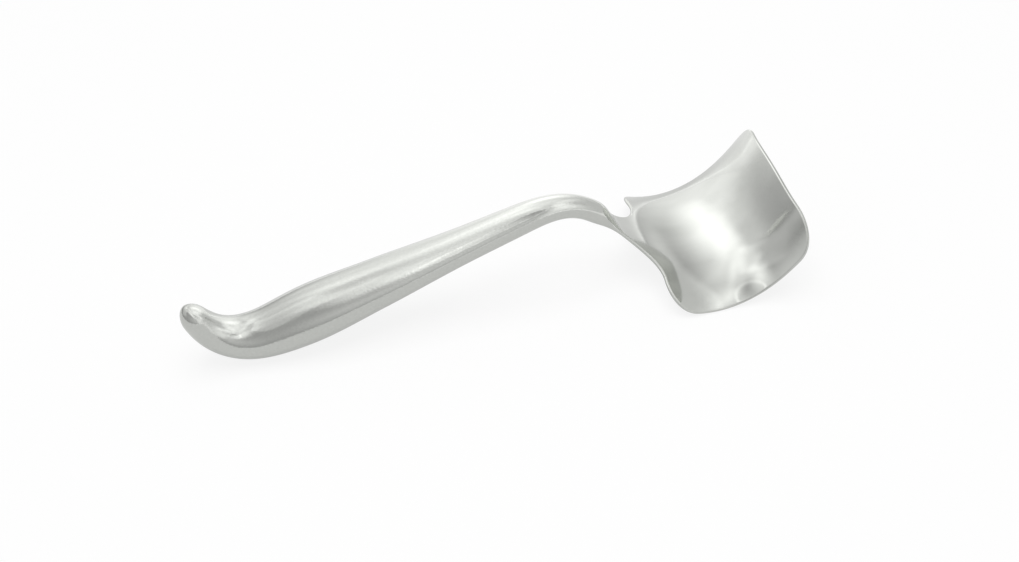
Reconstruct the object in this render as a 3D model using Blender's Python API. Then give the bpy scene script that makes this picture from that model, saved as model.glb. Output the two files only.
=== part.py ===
"""Hand-held abdominal retractor, forged as one piece: a contoured handle with a curled end,
a slim neck that bends down, and a broad saddle-shaped blade that sweeps forward and up.

The whole form is one loft. Rings run from the curled end through the handle and the neck into
the blade, where each ring opens out into a thin curved sheet with a rounded rim. One half is
built, and a Mirror modifier makes the other.
"""

import math

import bmesh
import bpy
import numpy as np

mm = 0.001

# Driving dimensions, in millimetres and degrees.

# Centre line, measured along itself from the curled end.
curl_length = 51.8
curl_turn = 83.0
neck_bend_at = 142.0
neck_bend_length = 47.6
neck_bend_turn = -64.0
blade_bend_at = 183.0
blade_bend_length = 90.4
blade_bend_turn = 105.5
centre_line_length = 274.8

# Handle and neck sections: distance along the centre line, half width, half height.
end_cap_length = 7.0
handle_sections = (
    (0.0, 4.9, 4.2),
    (14.0, 6.6, 6.4),
    (34.0, 10.1, 8.6),
    (56.0, 12.3, 10.2),
    (85.0, 10.9, 8.7),
    (120.0, 7.9, 6.6),
    (150.0, 6.0, 5.7),
    (172.0, 4.4, 4.5),
    (188.0, 4.6, 4.1),
)

# Blade. Its outline is a concave fillet, a round shoulder, the side, a round corner and the tip.
shoulder_width = 70.0
tip_width = 71.6
blade_thickness = 2.2
thinning_at = 176.0
thinning_length = 18.0
fillet_at = 183.0
fillet_length = 26.0
shoulder_radius = 12.0
side_droop = 7.2
droop_power = 3.2
droop_growth = 0.25
tip_corner_radius = 15.0
tip_bow = 3.4

# Fineness of the mesh.
end_rings = 6
handle_rings = 36
fillet_rings = 9
shoulder_rings = 5
side_rings = 7
corner_rings = 6
rim_steps = 6
handle_fan = math.radians(50)
across = np.array([0.0, 0.16, 0.32, 0.47, 0.61, 0.73, 0.83, 0.91, 0.965, 1.0])

half_sheet = blade_thickness / 2
half_shoulder = shoulder_width / 2
half_tip = tip_width / 2
shoulder_at = fillet_at + fillet_length + shoulder_radius

# The tip is an arc, and the corner circle touches it from inside and the side too.
tip_arc = half_tip**2 / (2 * tip_bow)
tip_arc_at = centre_line_length - tip_arc
corner_y = half_tip - tip_corner_radius
corner_at = tip_arc_at + math.sqrt((tip_arc - tip_corner_radius) ** 2 - corner_y**2)
corner_end = math.asin(corner_y / (tip_arc - tip_corner_radius))


def eased(x):
    """Step from 0 to 1 with no jump in slope or curvature."""
    x = np.clip(x, 0.0, 1.0)
    return x**3 * (x * (6 * x - 15) + 10)


def through(stations, column, x):
    """Smooth curve through one column of a section table."""
    table = np.array(stations)
    at, value = table[:, 0], table[:, column]
    slope = np.gradient(value, at)
    x = min(max(x, at[0]), at[-1])
    i = min(int(np.searchsorted(at, x, side="right")) - 1, len(at) - 2)
    span = at[i + 1] - at[i]
    t = (x - at[i]) / span
    rise = (3 - 2 * t) * t * t
    start = t * (1 - t) ** 2 * span * slope[i]
    end = t * t * (t - 1) * span * slope[i + 1]
    return value[i] + (value[i + 1] - value[i]) * rise + start + end


def centre_line():
    """Distances, headings and points of the centre line in the plane of symmetry."""
    at = np.linspace(0.0, centre_line_length, 1200)
    heading = math.radians(curl_turn) * (eased(at / curl_length) - 1)
    heading += math.radians(neck_bend_turn) * eased((at - neck_bend_at) / neck_bend_length)
    heading += math.radians(blade_bend_turn) * eased((at - blade_bend_at) / blade_bend_length)
    step = np.diff(at)
    x = np.cumsum(np.append(0.0, (np.cos(heading[1:]) + np.cos(heading[:-1])) / 2 * step))
    z = np.cumsum(np.append(0.0, (np.sin(heading[1:]) + np.sin(heading[:-1])) / 2 * step))
    return at, heading, x, z


line_at, line_heading, line_x, line_z = centre_line()


def middle(u, y):
    """Point of the middle surface at distance u and offset y: the blade's sides droop."""
    heading = np.interp(u, line_at, line_heading)
    grown = 1 + droop_growth * (u - shoulder_at) / (centre_line_length - shoulder_at)
    drop = side_droop * grown * eased((u - fillet_at) / (shoulder_at - fillet_at))
    drop = drop * np.abs(y / half_shoulder) ** droop_power
    x = np.interp(u, line_at, line_x) + np.sin(heading) * drop
    z = np.interp(u, line_at, line_z) - np.cos(heading) * drop
    return np.stack([x, np.broadcast_to(y, x.shape), z], -1)


def upward(u, y):
    """Normal of the middle surface."""
    reach = 0.2
    along = middle(u + reach, y) - middle(u - reach, y)
    sideways = middle(u, y + reach) - middle(u, y - reach)
    normal = np.cross(along, sideways)
    return normal / np.linalg.norm(normal, axis=-1, keepdims=True)


def ring(edge, out, half_height, sheet, ahead=0.0):
    """Half of one section, from the top middle round the rim to the bottom middle.

    edge is its outermost point as distance and offset, out the outline's direction there, and
    sheet is 0 on the round handle and 1 where the section is a thin sheet.
    """
    rim = edge[1] * (1 - sheet) + half_height * sheet
    fan = handle_fan * (1 - sheet)
    base = (edge[0] - rim * out[0], edge[1] - rim * out[1])
    turn = np.linspace(math.pi / 2 - fan, fan - math.pi / 2, rim_steps + 1)[1:-1]
    top_u = base[0] + ahead * (1 - across**2) + rim * np.sin(across * fan) * out[0]
    top_y = base[1] * across + rim * np.sin(across * fan) * out[1]
    top_z = half_height * np.cos(across * fan)
    u = np.concatenate([top_u, base[0] + rim * np.cos(turn) * out[0], top_u[::-1]])
    y = np.concatenate([top_y, base[1] + rim * np.cos(turn) * out[1], top_y[::-1]])
    z = np.concatenate([top_z, half_height * np.sin(turn), -top_z[::-1]])
    return middle(u, y) + upward(u, y) * z[:, None]


def quarter(count):
    """Angles of a quarter turn without the first, which the ring before already has."""
    return np.linspace(0.0, math.pi / 2, count + 1)[1:]


def blade_outline():
    """Points of the blade's outline as distance and offset, each with its outward direction."""
    start = through(handle_sections, 1, fillet_at)
    run = half_shoulder - shoulder_radius - start
    for a in quarter(fillet_rings):
        edge = (fillet_at + fillet_length * math.sin(a), start + run * (1 - math.cos(a)))
        slope = math.hypot(run * math.sin(a), fillet_length * math.cos(a))
        yield edge, (-run * math.sin(a) / slope, fillet_length * math.cos(a) / slope)
    for a in quarter(shoulder_rings):
        out = (-math.cos(a), math.sin(a))
        middle_y = half_shoulder - shoulder_radius
        yield (shoulder_at + shoulder_radius * out[0], middle_y + shoulder_radius * out[1]), out
    for share in np.linspace(0.0, 1.0, side_rings + 1)[1:]:
        widening = share * (half_tip - half_shoulder)
        yield (shoulder_at + share * (corner_at - shoulder_at), half_shoulder + widening), (0.0, 1.0)
    for a in np.linspace(math.pi / 2, corner_end, corner_rings + 1)[1:]:
        out = (math.cos(a), math.sin(a))
        yield (corner_at + tip_corner_radius * out[0], corner_y + tip_corner_radius * out[1]), out


def sheet_at(u):
    """0 on the round handle and neck, 1 where the section is a thin sheet."""
    return float(eased((u - thinning_at) / thinning_length))


def half_height_at(u):
    return through(handle_sections, 2, u) * (1 - sheet_at(u)) + half_sheet * sheet_at(u)


def all_rings():
    rings = []
    for k in range(1, end_rings + 1):
        lean = 0.5 * math.pi * k / end_rings
        u = end_cap_length * (1 - math.cos(lean))
        wide = through(handle_sections, 1, u) * math.sin(lean)
        high = through(handle_sections, 2, u) * math.sin(lean)
        rings.append(ring((u, wide), (0.0, 1.0), high, 0.0))
    for u in np.linspace(end_cap_length, fillet_at, handle_rings)[1:]:
        wide = through(handle_sections, 1, u)
        rings.append(ring((u, wide), (0.0, 1.0), half_height_at(u), sheet_at(u)))
    last_u = corner_at + (tip_corner_radius - half_sheet) * math.cos(corner_end)
    bulge = centre_line_length - half_sheet - last_u
    for edge, out in blade_outline():
        share = max(0.0, (edge[0] - shoulder_at) / (last_u - shoulder_at))
        ahead = bulge * min(share, 1.0) ** 2
        rings.append(ring(edge, out, half_height_at(edge[0]), sheet_at(edge[0]), ahead))
    return rings


def tip_nose():
    """Rounded rim of the tip edge, between the top and the bottom of the last ring."""
    y = corner_y + (tip_corner_radius - half_sheet) * math.sin(corner_end)
    y = y * across[:-1]
    out = np.arcsin(y / (tip_arc - half_sheet))
    rows = []
    for k in range(1, rim_steps):
        turn = math.pi / 2 - math.pi * k / rim_steps
        reach = tip_arc - half_sheet + half_sheet * math.cos(turn)
        u, wide = tip_arc_at + reach * np.cos(out), reach * np.sin(out)
        rows.append(middle(u, wide) + upward(u, wide) * half_sheet * math.sin(turn))
    return rows


def settled(rings):
    """Turns and lowers the points to the pose in which the retractor lies on a table."""
    points = np.concatenate(rings)
    split = np.interp(neck_bend_at, line_at, line_x)
    lean = 0.0
    for _ in range(12):
        high = points[:, 2] * math.cos(lean) - points[:, 0] * math.sin(lean)
        back = points[:, 0] < split
        a = points[back][np.argmin(high[back])]
        b = points[~back][np.argmin(high[~back])]
        lean = math.atan2(b[2] - a[2], b[0] - a[0])
    cosine, sine = math.cos(lean), math.sin(lean)
    turn = np.array([[cosine, 0.0, sine], [0.0, 1.0, 0.0], [-sine, 0.0, cosine]])
    points = points @ turn.T
    low, high = points.min(axis=0), points.max(axis=0)
    shift = np.array([(low[0] + high[0]) / 2, 0.0, low[2]])
    return [r @ turn.T - shift for r in rings]


def half_mesh(name):
    rings = all_rings()
    nose = tip_nose()
    pole = middle(np.array([0.0]), np.array([0.0]))
    placed = settled(rings + nose + [pole])
    mesh = bmesh.new()
    rows = [[mesh.verts.new(p * mm) for p in r] for r in placed[: len(rings)]]
    lips = [[mesh.verts.new(p * mm) for p in r] for r in placed[len(rings) : -1]]
    end = mesh.verts.new(placed[-1][0] * mm)
    for a, b in zip(rows[0], rows[0][1:]):
        mesh.faces.new((end, b, a))
    for near, far in zip(rows, rows[1:]):
        for k in range(len(near) - 1):
            mesh.faces.new((near[k], near[k + 1], far[k + 1], far[k]))
    last = rows[-1]
    count = len(across)
    strips = [last[:count]]
    for k, lip in enumerate(lips):
        strips.append(lip + [last[count + k]])
    strips.append(last[: -count - 1 : -1])
    for upper, lower in zip(strips, strips[1:]):
        for k in range(count - 1):
            mesh.faces.new((upper[k], upper[k + 1], lower[k + 1], lower[k]))
    bmesh.ops.recalc_face_normals(mesh, faces=mesh.faces)
    data = bpy.data.meshes.new(name)
    mesh.to_mesh(data)
    mesh.free()
    data.shade_smooth()
    data.set_sharp_from_angle(angle=math.radians(60))
    return data


def steel():
    material = bpy.data.materials.new("satin_steel")
    material.use_nodes = True
    shader = material.node_tree.nodes["Principled BSDF"]
    shader.inputs["Base Color"].default_value = (0.72, 0.73, 0.71, 1.0)
    shader.inputs["Metallic"].default_value = 1.0
    shader.inputs["Roughness"].default_value = 0.28
    return material


for thing in list(bpy.data.objects):
    bpy.data.objects.remove(thing)

retractor = bpy.data.objects.new("retractor", half_mesh("retractor"))
bpy.context.scene.collection.objects.link(retractor)
retractor.data.materials.append(steel())
mirror = retractor.modifiers.new("other half", "MIRROR")
mirror.use_axis = (False, True, False)
mirror.merge_threshold = 0.00001
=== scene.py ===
import math

import bpy
import numpy as np
from mathutils import Matrix, Vector


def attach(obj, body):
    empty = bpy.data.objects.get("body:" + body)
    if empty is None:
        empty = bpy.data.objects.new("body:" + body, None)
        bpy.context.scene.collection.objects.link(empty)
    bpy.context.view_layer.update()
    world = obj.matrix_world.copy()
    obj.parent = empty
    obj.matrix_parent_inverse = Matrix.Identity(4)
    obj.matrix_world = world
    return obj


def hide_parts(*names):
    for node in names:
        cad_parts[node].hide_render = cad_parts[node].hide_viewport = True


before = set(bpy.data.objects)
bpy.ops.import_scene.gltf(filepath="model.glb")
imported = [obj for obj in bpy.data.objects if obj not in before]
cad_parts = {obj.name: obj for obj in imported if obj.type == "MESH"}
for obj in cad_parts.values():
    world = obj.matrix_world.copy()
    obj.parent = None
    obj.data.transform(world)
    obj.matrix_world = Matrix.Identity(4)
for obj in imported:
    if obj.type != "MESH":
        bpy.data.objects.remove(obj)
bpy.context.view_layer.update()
print("frame loaded")


# the instrument, in millimetres and degrees, measured along its centre line from the curled end
retractor = {
    "curlLength": 51.8,
    "curlTurn": 83.0,
    "neckBendAt": 142.0,
    "neckBendLength": 47.6,
    "neckBendTurn": -64.0,
    "bladeBendAt": 183.0,
    "bladeBendLength": 90.4,
    "bladeBendTurn": 105.5,
    "fullLength": 274.8,
    "endCapLength": 7.0,
    "handleSections": (  # distance, half width, half height
        (0.0, 4.9, 4.2),
        (14.0, 6.6, 6.4),
        (34.0, 10.1, 8.6),
        (56.0, 12.3, 10.2),
        (85.0, 10.9, 8.7),
        (120.0, 7.9, 6.6),
        (150.0, 6.0, 5.7),
        (172.0, 4.4, 4.5),
        (188.0, 4.6, 4.1),
    ),
    "shoulderWidth": 70.0,
    "tipWidth": 71.6,
    "bladeThickness": 1.5,  # thinner than the solid's sheet, as the blade's edge looks in the photograph
    "thinningAt": 176.0,
    "thinningLength": 18.0,
    "filletAt": 183.0,
    "filletLength": 26.0,
    "shoulderRadius": 12.0,
    "sideDroop": 7.2,
    "droopPower": 3.2,  # a higher power keeps more of the middle flat
    "droopGrowth": 0.25,  # how much more the sides droop at the tip
    "tipCornerRadius": 15.0,
    "tipBow": 3.4,  # how far the middle of the tip stands forward
    "polishedEdge": 1.6,  # how far in from its edge the blade is polished brighter
}

# how finely the loft is cut for the render
fineness = {
    "lineSteps": 2400,
    "slopeReach": 0.3,  # millimetres to each side of a point, to find the slope of the surface there
    "endRings": 14,
    "handleRings": 150,
    "filletRings": 30,
    "shoulderRings": 18,
    "sideRings": 26,
    "cornerRings": 20,
    "rimSteps": 16,
    "acrossSteps": 30,
    "crowding": 1.6,  # above 1, the points across lie closer together near the edge
    "fan": math.radians(50),  # how far down a round section its rim begins
    "settlingTurns": 12,
    "seamGap": 0.00001,  # metres within which the two halves are joined
}
mmPerMetre = 1000


def eased(x):  # from 0 to 1 with no sudden start or end
    x = np.clip(x, 0.0, 1.0)
    return x**3 * (x * (6 * x - 15) + 10)


def sectionAt(column, x):  # smooth curve through one column of the section table
    table = np.array(retractor["handleSections"])
    at, value = table[:, 0], table[:, column]
    slope = np.gradient(value, at)
    x = min(max(x, at[0]), at[-1])
    i = min(int(np.searchsorted(at, x, side="right")) - 1, len(at) - 2)
    span = at[i + 1] - at[i]
    t = (x - at[i]) / span
    rise = (3 - 2 * t) * t * t
    start = t * (1 - t) ** 2 * span * slope[i]
    end = t * t * (t - 1) * span * slope[i + 1]
    return value[i] + (value[i + 1] - value[i]) * rise + start + end


def centreLine():  # distance, heading, x and z in the plane of symmetry
    r = retractor
    at = np.linspace(0.0, r["fullLength"], fineness["lineSteps"])
    heading = math.radians(r["curlTurn"]) * (eased(at / r["curlLength"]) - 1)
    heading += math.radians(r["neckBendTurn"]) * eased((at - r["neckBendAt"]) / r["neckBendLength"])
    heading += math.radians(r["bladeBendTurn"]) * eased((at - r["bladeBendAt"]) / r["bladeBendLength"])
    step = np.diff(at)
    x = np.cumsum(np.append(0.0, (np.cos(heading[1:]) + np.cos(heading[:-1])) / 2 * step))
    z = np.cumsum(np.append(0.0, (np.sin(heading[1:]) + np.sin(heading[:-1])) / 2 * step))
    return at, heading, x, z


lineAt, lineHeading, lineX, lineZ = centreLine()
shoulderAt = retractor["filletAt"] + retractor["filletLength"] + retractor["shoulderRadius"]
halfSheet = retractor["bladeThickness"] / 2
halfShoulder = retractor["shoulderWidth"] / 2
halfTip = retractor["tipWidth"] / 2
cornerRadius = retractor["tipCornerRadius"]
tipArc = halfTip**2 / (2 * retractor["tipBow"])  # radius of the bowed tip
tipArcAt = retractor["fullLength"] - tipArc
cornerY = halfTip - cornerRadius
cornerAt = tipArcAt + math.sqrt((tipArc - cornerRadius) ** 2 - cornerY**2)
cornerEnd = math.asin(cornerY / (tipArc - cornerRadius))
across = 1 - (1 - np.linspace(0.0, 1.0, fineness["acrossSteps"] + 1)) ** fineness["crowding"]


def middle(u, y):  # the sheet's middle surface, whose sides droop
    r = retractor
    heading = np.interp(u, lineAt, lineHeading)
    grown = 1 + r["droopGrowth"] * (u - shoulderAt) / (r["fullLength"] - shoulderAt)
    drop = r["sideDroop"] * grown * eased((u - r["filletAt"]) / (shoulderAt - r["filletAt"]))
    drop = drop * np.abs(y / halfShoulder) ** r["droopPower"]
    x = np.interp(u, lineAt, lineX) + np.sin(heading) * drop
    z = np.interp(u, lineAt, lineZ) - np.cos(heading) * drop
    return np.stack([x, np.broadcast_to(y, x.shape), z], -1)


def upward(u, y):  # square to the middle surface
    reach = fineness["slopeReach"]
    along = middle(u + reach, y) - middle(u - reach, y)
    sideways = middle(u, y + reach) - middle(u, y - reach)
    normal = np.cross(along, sideways)
    return normal / np.linalg.norm(normal, axis=-1, keepdims=True)


def sheetAt(u):  # 0 on the round neck, 1 on the thin blade
    return float(eased((u - retractor["thinningAt"]) / retractor["thinningLength"]))


def halfWidthAt(u):
    return sectionAt(1, u)


def halfHeightAt(u):
    return sectionAt(2, u) * (1 - sheetAt(u)) + halfSheet * sheetAt(u)


def ring(edge, out, halfHeight, sheet, ahead=0.0):  # half a section, top middle to bottom middle
    rim = edge[1] * (1 - sheet) + halfHeight * sheet
    fan = fineness["fan"] * (1 - sheet)
    base = (edge[0] - rim * out[0], edge[1] - rim * out[1])
    turn = np.linspace(math.pi / 2 - fan, fan - math.pi / 2, fineness["rimSteps"] + 1)[1:-1]
    topU = base[0] + ahead * (1 - across**2) + rim * np.sin(across * fan) * out[0]
    topY = base[1] * across + rim * np.sin(across * fan) * out[1]
    topZ = halfHeight * np.cos(across * fan)
    u = np.concatenate([topU, base[0] + rim * np.cos(turn) * out[0], topU[::-1]])
    y = np.concatenate([topY, base[1] + rim * np.cos(turn) * out[1], topY[::-1]])
    z = np.concatenate([topZ, halfHeight * np.sin(turn), -topZ[::-1]])
    return middle(u, y) + upward(u, y) * z[:, None]


def bladeOutline():  # fillet, shoulder, side and tip corner, each point with its outward direction
    r = retractor
    start = halfWidthAt(r["filletAt"])
    inner = halfShoulder - r["shoulderRadius"]
    for turn in np.linspace(0.0, math.pi / 2, fineness["filletRings"] + 1)[1:]:
        slope = math.hypot((inner - start) * math.sin(turn), r["filletLength"] * math.cos(turn))
        out = (-(inner - start) * math.sin(turn) / slope, r["filletLength"] * math.cos(turn) / slope)
        edgeY = start + (inner - start) * (1 - math.cos(turn))
        yield (r["filletAt"] + r["filletLength"] * math.sin(turn), edgeY), out
    for turn in np.linspace(0.0, math.pi / 2, fineness["shoulderRings"] + 1)[1:]:
        out = (-math.cos(turn), math.sin(turn))
        yield (shoulderAt + r["shoulderRadius"] * out[0], inner + r["shoulderRadius"] * out[1]), out
    for share in np.linspace(0.0, 1.0, fineness["sideRings"] + 1)[1:]:
        widening = share * (halfTip - halfShoulder)
        yield (shoulderAt + share * (cornerAt - shoulderAt), halfShoulder + widening), (0.0, 1.0)
    for turn in np.linspace(math.pi / 2, cornerEnd, fineness["cornerRings"] + 1)[1:]:
        out = (math.cos(turn), math.sin(turn))
        yield (cornerAt + cornerRadius * out[0], cornerY + cornerRadius * out[1]), out


def allRings():  # the round end, the handle with its neck, then the blade
    r = retractor
    rings = []
    for k in range(1, fineness["endRings"] + 1):
        lean = 0.5 * math.pi * k / fineness["endRings"]
        u = r["endCapLength"] * (1 - math.cos(lean))
        wide, high = halfWidthAt(u) * math.sin(lean), halfHeightAt(u) * math.sin(lean)
        rings.append(ring((u, wide), (0.0, 1.0), high, 0.0))
    for u in np.linspace(r["endCapLength"], r["filletAt"], fineness["handleRings"])[1:]:
        rings.append(ring((u, halfWidthAt(u)), (0.0, 1.0), halfHeightAt(u), sheetAt(u)))
    lastU = cornerAt + (cornerRadius - halfSheet) * math.cos(cornerEnd)
    bulge = r["fullLength"] - halfSheet - lastU
    for edge, out in bladeOutline():
        share = min(max(0.0, (edge[0] - shoulderAt) / (lastU - shoulderAt)), 1.0)
        rings.append(ring(edge, out, halfHeightAt(edge[0]), sheetAt(edge[0]), bulge * share**2))
    return rings


def ringShares(count):  # how far each ring belongs to the blade, from 0 to 1
    handle = np.linspace(retractor["endCapLength"], retractor["filletAt"], fineness["handleRings"])[1:]
    shares = [0.0] * fineness["endRings"] + [sheetAt(u) for u in handle]
    return shares + [1.0] * (count - len(shares))


def tipNose():  # the round rim of the tip edge
    y = (cornerY + (cornerRadius - halfSheet) * math.sin(cornerEnd)) * across[:-1]
    out = np.arcsin(y / (tipArc - halfSheet))
    rows = []
    for k in range(1, fineness["rimSteps"]):
        turn = math.pi / 2 - math.pi * k / fineness["rimSteps"]
        reach = tipArc - halfSheet + halfSheet * math.cos(turn)
        u, wide = tipArcAt + reach * np.cos(out), reach * np.sin(out)
        rows.append(middle(u, wide) + upward(u, wide) * halfSheet * math.sin(turn))
    return rows


def settled(rings):  # turns and lowers the points until belly and blade lie on the table
    points = np.concatenate(rings)
    split = np.interp(retractor["neckBendAt"], lineAt, lineX)
    lean = 0.0
    for _ in range(fineness["settlingTurns"]):
        high = points[:, 2] * math.cos(lean) - points[:, 0] * math.sin(lean)
        back = points[:, 0] < split
        belly = points[back][np.argmin(high[back])]
        side = points[~back][np.argmin(high[~back])]
        lean = math.atan2(side[2] - belly[2], side[0] - belly[0])
    cosine, sine = math.cos(lean), math.sin(lean)
    turn = np.array([[cosine, 0.0, sine], [0.0, 1.0, 0.0], [-sine, 0.0, cosine]])
    points = points @ turn.T
    low, high = points.min(axis=0), points.max(axis=0)
    shift = np.array([(low[0] + high[0]) / 2, 0.0, low[2]])
    return [row @ turn.T - shift for row in rings]


def nearRim(row):  # 1 on the blade's rim, falling to 0 further in
    count = len(across)
    if len(row) < 2 * count:  # a row along the tip, which is all rim
        return np.ones(len(row))
    top, bottom = row[count - 1], row[-count]
    gap = np.minimum(np.linalg.norm(row - top, axis=1), np.linalg.norm(row - bottom, axis=1))
    gap[count - 1 : -count] = 0.0
    return np.exp(-((gap / retractor["polishedEdge"]) ** 2))


def buildRetractor():
    rings, nose = allRings(), tipNose()
    pole = middle(np.array([0.0]), np.array([0.0]))
    placed = settled(rings + nose + [pole])
    points, faces, edgeShares = [], [], []

    def addRow(row, blade):
        first = len(points)
        points.extend((np.asarray(row) / mmPerMetre).tolist())
        edgeShares.extend((nearRim(row) * blade).tolist())
        return list(range(first, first + len(row)))

    bladeShares = ringShares(len(rings))
    body = [addRow(row, share) for row, share in zip(placed, bladeShares)]
    lips = [addRow(row, 1.0) for row in placed[len(rings) : -1]]
    end = addRow(placed[-1], 0.0)[0]
    for point, neighbour in zip(body[0], body[0][1:]):
        faces.append((end, point, neighbour))
    for near, far in zip(body, body[1:]):
        for k in range(len(near) - 1):
            faces.append((near[k], far[k], far[k + 1], near[k + 1]))
    last, count = body[-1], len(across)
    strips = [last[:count]]
    for k, lip in enumerate(lips):
        strips.append(lip + [last[count + k]])
    strips.append(last[: -count - 1 : -1])
    for upper, lower in zip(strips, strips[1:]):
        for k in range(count - 1):
            faces.append((upper[k], lower[k], lower[k + 1], upper[k + 1]))
    mesh = bpy.data.meshes.new("retractorBody")
    mesh.from_pydata(points, [], faces)
    mesh.shade_smooth()
    edges = mesh.attributes.new("edgeShare", "FLOAT", "POINT")
    edges.data.foreach_set("value", edgeShares)
    piece = bpy.data.objects.new("retractorBody", mesh)
    bpy.context.scene.collection.objects.link(piece)
    mirror = piece.modifiers.new("otherHalf", "MIRROR")
    mirror.use_axis = (False, True, False)
    mirror.merge_threshold = fineness["seamGap"]
    return piece


retractorBody = buildRetractor()
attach(retractorBody, "root")
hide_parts("retractor")
print("retractor lofted:", len(retractorBody.data.polygons), "faces in one half")


# small helpers for node trees, where a value is either a plain number or another node's output
def fill(tree, socket, value):
    if isinstance(value, (int, float)):
        socket.default_value = value
    else:
        tree.links.new(value, socket)


def placeNodes(tree, kind="Object"):  # where a point is, as a vector and as its X, Y and Z
    place = tree.nodes.new("ShaderNodeTexCoord")
    axes = tree.nodes.new("ShaderNodeSeparateXYZ")
    tree.links.new(place.outputs[kind], axes.inputs[0])
    return place.outputs[kind], axes.outputs


def ranged(tree, value, given, wanted=(0.0, 1.0), smooth=False):
    node = tree.nodes.new("ShaderNodeMapRange")
    if smooth:
        node.interpolation_type = "SMOOTHSTEP"
    names = ("Value", "From Min", "From Max", "To Min", "To Max")
    for name, number in zip(names, (value, *given, *wanted)):
        fill(tree, node.inputs[name], number)
    return node.outputs["Result"]


def worked(tree, kind, first, second=None):
    node = tree.nodes.new("ShaderNodeMath")
    node.operation = kind
    fill(tree, node.inputs[0], first)
    if second is not None:
        fill(tree, node.inputs[1], second)
    return node.outputs[0]


def blend(tree, share, first, second):
    node = tree.nodes.new("ShaderNodeMix")
    node.data_type = "FLOAT"
    for name, value in (("Factor", share), ("A", first), ("B", second)):
        fill(tree, node.inputs[name], value)
    return node.outputs["Result"]


# one steel with two finishes, all in metres: a fine grain on the handle and a smoother blade
steel = {
    "color": (0.575, 0.585, 0.56, 1.0),
    "duller": (0.49, 0.50, 0.475, 1.0),
    "bladeStarts": 0.03,  # x where the handle's finish gives way to the blade's
    "bladeBlend": 0.025,
    "waves": {"stretch": (38.0, 55.0, 55.0), "detail": 1.0, "rough": 0.5},
    "streaks": {"stretch": (70.0, 900.0, 900.0), "detail": 4.0, "rough": 0.6},
    "grain": {"stretch": (1100.0, 1500.0, 1500.0), "detail": 2.0, "rough": 0.5},
    "patches": {"stretch": (30.0, 90.0, 90.0), "detail": 3.0, "rough": 0.5},
    "waveDepth": 0.00006,
    "streakDepth": 0.000006,
    "grainDepth": 0.00003,
    "bladeGrain": 0.08,  # share of the grain that is left on the blade
    "noiseSpan": (0.3, 0.7),  # nearly all that a noise gives lies between these
    "handleRoughness": (0.05, 0.11),
    "bladeRoughness": (0.09, 0.14),
    "edgeRoughness": 0.04,
    "grainSpan": (0.35, 0.7),  # over this span of the grain
    "handleDulled": (0.15, 0.5),  # the handle goes this far from the first colour to the duller one
    "patchSpan": (0.3, 0.9),  # and over this span of the patches the blade goes all the way
}


def steelMaterial():
    material = bpy.data.materials.new("satinSteel")
    material.use_nodes = True
    tree = material.node_tree
    nodes, links = tree.nodes, tree.links
    shader = nodes["Principled BSDF"]
    shader.inputs["Metallic"].default_value = 1.0
    place, axes = placeNodes(tree)

    def noise(facts):
        mapping = nodes.new("ShaderNodeMapping")
        mapping.inputs["Scale"].default_value = facts["stretch"]
        links.new(place, mapping.inputs["Vector"])
        texture = nodes.new("ShaderNodeTexNoise")
        texture.inputs["Scale"].default_value = 1.0
        texture.inputs["Detail"].default_value = facts["detail"]
        texture.inputs["Roughness"].default_value = facts["rough"]
        links.new(mapping.outputs[0], texture.inputs["Vector"])
        return texture.outputs["Fac"]

    def bump(height, distance, before=None, share=None):
        node = nodes.new("ShaderNodeBump")
        node.inputs["Distance"].default_value = distance
        links.new(height, node.inputs["Height"])
        if share is not None:
            links.new(share, node.inputs["Strength"])
        if before is not None:
            links.new(before, node.inputs["Normal"])
        return node.outputs["Normal"]

    waves, streaks = noise(steel["waves"]), noise(steel["streaks"])
    grain, patches = noise(steel["grain"]), noise(steel["patches"])
    bladeSpan = (steel["bladeStarts"], steel["bladeStarts"] + steel["bladeBlend"])
    onBlade = ranged(tree, axes["X"], bladeSpan, smooth=True)
    atEdge = nodes.new("ShaderNodeAttribute")
    atEdge.attribute_name = "edgeShare"

    handleRough = ranged(tree, streaks, steel["noiseSpan"], steel["handleRoughness"])
    bladeRough = ranged(tree, patches, steel["noiseSpan"], steel["bladeRoughness"])
    rough = blend(tree, onBlade, handleRough, bladeRough)
    rough = blend(tree, atEdge.outputs["Fac"], rough, steel["edgeRoughness"])
    links.new(rough, shader.inputs["Roughness"])

    handleDull = ranged(tree, grain, steel["grainSpan"], steel["handleDulled"])
    bladeDull = ranged(tree, patches, steel["patchSpan"])
    color = nodes.new("ShaderNodeMix")
    color.data_type = "RGBA"
    links.new(blend(tree, onBlade, handleDull, bladeDull), color.inputs[0])
    tones = [socket for socket in color.inputs if socket.type == "RGBA"]
    tones[0].default_value = steel["color"]
    tones[1].default_value = steel["duller"]
    mixed = [socket for socket in color.outputs if socket.type == "RGBA"]
    links.new(mixed[0], shader.inputs["Base Color"])

    normal = bump(waves, steel["waveDepth"])
    normal = bump(streaks, steel["streakDepth"], normal)
    grainLeft = blend(tree, onBlade, 1.0, steel["bladeGrain"])
    normal = bump(grain, steel["grainDepth"], normal, grainLeft)
    links.new(normal, shader.inputs["Normal"])
    return material


retractorBody.data.materials.append(steelMaterial())
print("steel finished")


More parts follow.
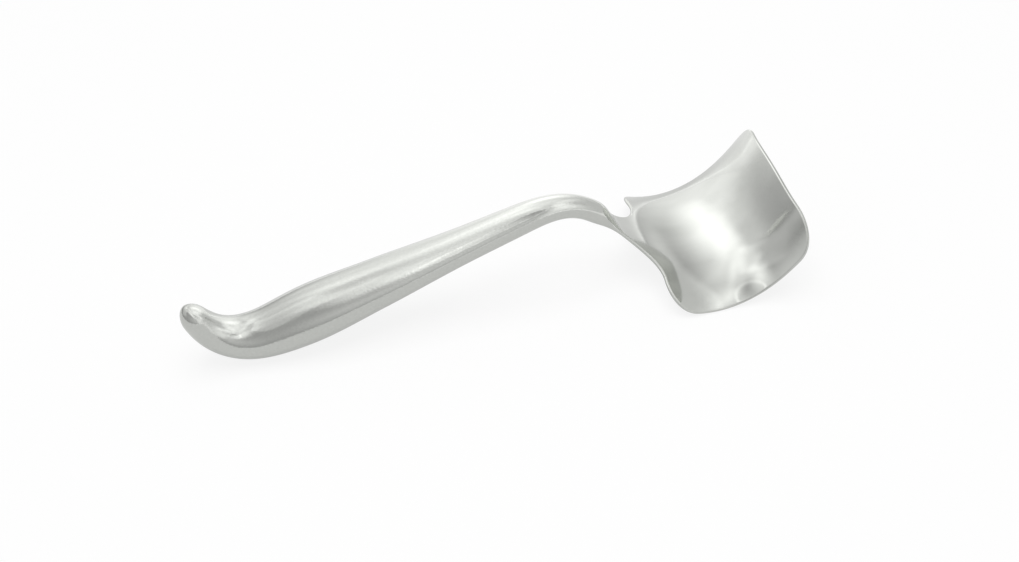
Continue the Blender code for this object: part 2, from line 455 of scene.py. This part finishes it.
# the table and the light round it, in metres
studio = {
    "floorSize": 6.0,
    "floorColor": (0.8, 0.8, 0.8, 1.0),
    "cameraGlow": 0.8,  # share of plain light that the camera sees on the floor
    "cameraLevel": 1.04,  # and its level
    "metalGlow": 0.5,  # the same share for the metal, and its level at three depths
    "metalNear": 0.95,
    "metalFar": 1.6,
    "metalBeyond": 0.2,
    "farSpan": (0.05, 0.13),  # y where the level goes from near to far
    "beyondSpan": (0.16, 0.24),  # and from far to beyond
    "lampHeight": 1.2,  # a lamp that the metal doesn't mirror gives the floor its soft shadow
    "lampSize": 0.9,
    "lampWatts": 8.0,
    "skyLow": 0.5,  # plain grey surroundings, a little lighter overhead
    "skyHigh": 0.56,
    "aim": (0.0, 0.0, 0.02),  # what the panels of light face
    "panelsInLine": 32,  # how many of them a ray can pass through
}


def square(name, half):
    mesh = bpy.data.meshes.new(name)
    corners = [(-half, -half, 0), (half, -half, 0), (half, half, 0), (-half, half, 0)]
    mesh.from_pydata(corners, [], [(0, 1, 2, 3)])
    piece = bpy.data.objects.new(name, mesh)
    bpy.context.scene.collection.objects.link(piece)
    return piece


def bareMaterial(name):
    material = bpy.data.materials.new(name)
    material.use_nodes = True
    material.node_tree.nodes.clear()
    return material


def floorMaterial():
    material = bareMaterial("paleFloor")
    tree = material.node_tree
    nodes, links = tree.nodes, tree.links
    diffuse = nodes.new("ShaderNodeBsdfDiffuse")
    diffuse.inputs["Color"].default_value = studio["floorColor"]
    path = nodes.new("ShaderNodeLightPath")
    axes = placeNodes(tree)[1]

    def glowing(below, ray, level, share):  # mixes a plain glow over what is below, for one kind of ray
        glow = nodes.new("ShaderNodeEmission")
        fill(tree, glow.inputs["Strength"], level)
        mix = nodes.new("ShaderNodeMixShader")
        links.new(worked(tree, "MULTIPLY", path.outputs[ray], share), mix.inputs["Fac"])
        links.new(below, mix.inputs[1])
        links.new(glow.outputs[0], mix.inputs[2])
        return mix.outputs[0]

    nearToFar = (studio["metalNear"], studio["metalFar"])
    level = ranged(tree, axes["Y"], studio["farSpan"], nearToFar, smooth=True)
    level = ranged(tree, axes["Y"], studio["beyondSpan"], (level, studio["metalBeyond"]), smooth=True)
    surface = glowing(diffuse.outputs[0], "Is Glossy Ray", level, studio["metalGlow"])
    surface = glowing(surface, "Is Camera Ray", studio["cameraLevel"], studio["cameraGlow"])
    output = nodes.new("ShaderNodeOutputMaterial")
    links.new(surface, output.inputs["Surface"])
    return material


floor = square("floor", studio["floorSize"] / 2)
floor.data.materials.append(floorMaterial())
print("floor laid")

world = bpy.data.worlds.new("studio")
bpy.context.scene.world = world
world.use_nodes = True
sky = world.node_tree.nodes["Background"]
sky.inputs["Color"].default_value = (1.0, 1.0, 1.0, 1.0)
skyAxes = placeNodes(world.node_tree, "Generated")[1]
skyLevel = ranged(world.node_tree, skyAxes["Z"], (0.0, 1.0), (studio["skyLow"], studio["skyHigh"]))
world.node_tree.links.new(skyLevel, sky.inputs["Strength"])

# soft panels of light round the table, in degrees and metres: the direction from the object comes first,
# edge is the share of the half size over which the light fades, and rise makes the top the brighter part
softboxes = {
    "backTop": {
        "azimuth": 115, "height": 50, "away": 0.45, "roll": -65,
        "half": (0.26, 0.12), "edge": 0.9, "rise": 0.6, "strength": 0.4,
    },
    "backWall": {
        "azimuth": 75, "height": 10, "away": 0.18, "roll": -50,
        "half": (0.22, 0.24), "edge": 0.9, "rise": 0.2, "strength": 0.9,
    },
    "frontHigh": {
        "azimuth": -115, "height": 50, "away": 0.18, "roll": 60,
        "half": (0.06, 0.13), "edge": 1.0, "rise": 0.8, "strength": 0.9,
    },
    "frontLow": {
        "azimuth": -95, "height": 25, "away": 0.13, "roll": 0,
        "half": (0.2, 0.08), "edge": 1.0, "rise": -0.8, "strength": 0.35,
    },
    "leftFar": {
        "azimuth": 180, "height": 40, "away": 0.4, "roll": 25,
        "half": (0.16, 0.24), "edge": 0.3, "rise": 0.2, "strength": 0.25,
    },
    "overRight": {
        "azimuth": 55, "height": 65, "away": 0.13, "roll": 50,
        "half": (0.15, 0.14), "edge": 0.8, "rise": -0.8, "strength": 0.7,
    },
    "frontRight": {
        "azimuth": -45, "height": 35, "away": 0.14, "roll": -80,
        "half": (0.08, 0.06), "edge": 1.0, "rise": 0.0, "strength": 0.6,
    },
    "right": {
        "azimuth": -20, "height": 10, "away": 0.27, "roll": -40,
        "half": (0.4, 0.4), "edge": 0.4, "rise": -0.2, "strength": 0.35,
    },
    "backLeft": {
        "azimuth": 135, "height": 30, "away": 0.23, "roll": 25,
        "half": (0.15, 0.11), "edge": 0.7, "rise": 0.2, "strength": 0.45,
    },
    "above": {
        "azimuth": 0, "height": 90, "away": 0.16, "roll": 70,
        "half": (0.22, 0.1), "edge": 0.5, "rise": 0.8, "strength": 0.35,
    },
    "topStrip": {
        "azimuth": 150, "height": 80, "away": 0.28, "roll": 65,
        "half": (0.25, 0.05), "edge": 1.0, "rise": -0.2, "strength": 0.3,
    },
}

# a bright hoop in front, on a sheet 1 m to each side so that its radius and band are in metres
ringLight = {
    "azimuth": -90, "height": 50, "away": 0.21, "roll": 0,
    "half": (1.0, 1.0), "radius": 0.06, "band": 0.008, "edge": 0.6, "strength": 0.4,
}


def softPanelGroup():  # the light's share of its strength, fading to 0 at the panel's border
    group = bpy.data.node_groups.new("softPanel", "ShaderNodeTree")
    group.interface.new_socket("Edge", in_out="INPUT", socket_type="NodeSocketFloat")
    group.interface.new_socket("Rise", in_out="INPUT", socket_type="NodeSocketFloat")
    group.interface.new_socket("Light", in_out="OUTPUT", socket_type="NodeSocketFloat")
    given = group.nodes.new("NodeGroupInput")
    result = group.nodes.new("NodeGroupOutput")
    axes = placeNodes(group)[1]

    def faded(side):
        inward = worked(group, "SUBTRACT", 1.0, worked(group, "ABSOLUTE", axes[side]))
        return ranged(group, inward, (0.0, given.outputs["Edge"]), smooth=True)

    slope = worked(group, "ADD", 1.0, worked(group, "MULTIPLY", given.outputs["Rise"], axes["Y"]))
    shape = worked(group, "MULTIPLY", faded("X"), faded("Y"))
    group.links.new(worked(group, "MULTIPLY", shape, slope), result.inputs["Light"])
    return group


softPanel = softPanelGroup()


def addedLight(material, share, strength):  # light on top of whatever is behind it
    nodes, links = material.node_tree.nodes, material.node_tree.links
    glow = nodes.new("ShaderNodeEmission")
    glow.inputs["Strength"].default_value = strength
    links.new(share, glow.inputs["Color"])
    clear = nodes.new("ShaderNodeBsdfTransparent")
    both = nodes.new("ShaderNodeAddShader")
    links.new(glow.outputs[0], both.inputs[0])
    links.new(clear.outputs[0], both.inputs[1])
    output = nodes.new("ShaderNodeOutputMaterial")
    links.new(both.outputs[0], output.inputs["Surface"])


def panelMaterial(name, facts):
    material = bareMaterial(name)
    shape = material.node_tree.nodes.new("ShaderNodeGroup")
    shape.node_tree = softPanel
    shape.inputs["Edge"].default_value = facts["edge"]
    shape.inputs["Rise"].default_value = facts["rise"]
    addedLight(material, shape.outputs["Light"], facts["strength"])
    return material


def ringMaterial(name, facts):
    material = bareMaterial(name)
    tree = material.node_tree
    reach = tree.nodes.new("ShaderNodeVectorMath")
    reach.operation = "LENGTH"
    tree.links.new(placeNodes(tree)[0], reach.inputs[0])
    off = worked(tree, "ABSOLUTE", worked(tree, "SUBTRACT", reach.outputs["Value"], facts["radius"]))
    fadeSpan = (facts["band"] * (1 - facts["edge"]), facts["band"])
    addedLight(material, ranged(tree, off, fadeSpan, (1.0, 0.0), smooth=True), facts["strength"])
    return material


def hang(name, facts, material):  # a rectangle that faces the object and that only the metal sees
    azimuth, height, roll = (math.radians(facts[key]) for key in ("azimuth", "height", "roll"))
    level = math.cos(height)
    out = Vector((math.cos(azimuth) * level, math.sin(azimuth) * level, math.sin(height)))
    side = Vector((-math.sin(azimuth), math.cos(azimuth), 0.0))
    rise = out.cross(side)
    right = math.cos(roll) * side + math.sin(roll) * rise
    up = math.cos(roll) * rise - math.sin(roll) * side
    wide, high = facts["half"]
    panel = square(name, 1)
    panel.data.materials.append(material)
    turned = Matrix((right * wide, up * high, out)).transposed().to_4x4()
    panel.matrix_world = Matrix.Translation(Vector(studio["aim"]) + out * facts["away"]) @ turned
    panel.visible_camera = False
    panel.visible_shadow = False
    panel.visible_diffuse = False


for boxName, boxFacts in softboxes.items():
    hang(boxName, boxFacts, panelMaterial(boxName, boxFacts))
hang("ringLight", ringLight, ringMaterial("ringLight", ringLight))
bpy.context.scene.cycles.transparent_max_bounces = studio["panelsInLine"]

floorLight = bpy.data.lights.new("floorLamp", "AREA")
floorLight.size = studio["lampSize"]
floorLight.energy = studio["lampWatts"]
floorLamp = bpy.data.objects.new("floorLamp", floorLight)
floorLamp.location = (0.0, 0.0, studio["lampHeight"])
floorLamp.visible_camera = False
floorLamp.visible_glossy = False
bpy.context.scene.collection.objects.link(floorLamp)
print("studio lit")


# the photograph's view, in metres, with the lens and its sensor in millimetres
view = {
    "at": (-0.0869, -0.40634, 0.43635),
    "right": (0.9628, -0.26719, -0.04027),
    "up": (0.21906, 0.68457, 0.69526),
    "back": (-0.1582, -0.67822, 0.71763),
    "lens": 53.22,
    "sensorWidth": 36.0,
    "clipStart": 0.01,
}

cameraData = bpy.data.cameras.new("photoView")
cameraData.lens = view["lens"]
cameraData.sensor_width = view["sensorWidth"]
cameraData.clip_start = view["clipStart"]
camera = bpy.data.objects.new("photoView", cameraData)
turned = Matrix((view["right"], view["up"], view["back"])).transposed().to_4x4()
camera.matrix_world = Matrix.Translation(view["at"]) @ turned
bpy.context.scene.collection.objects.link(camera)
bpy.context.scene.camera = camera
bpy.context.scene.view_settings.view_transform = "Standard"
print("camera placed")
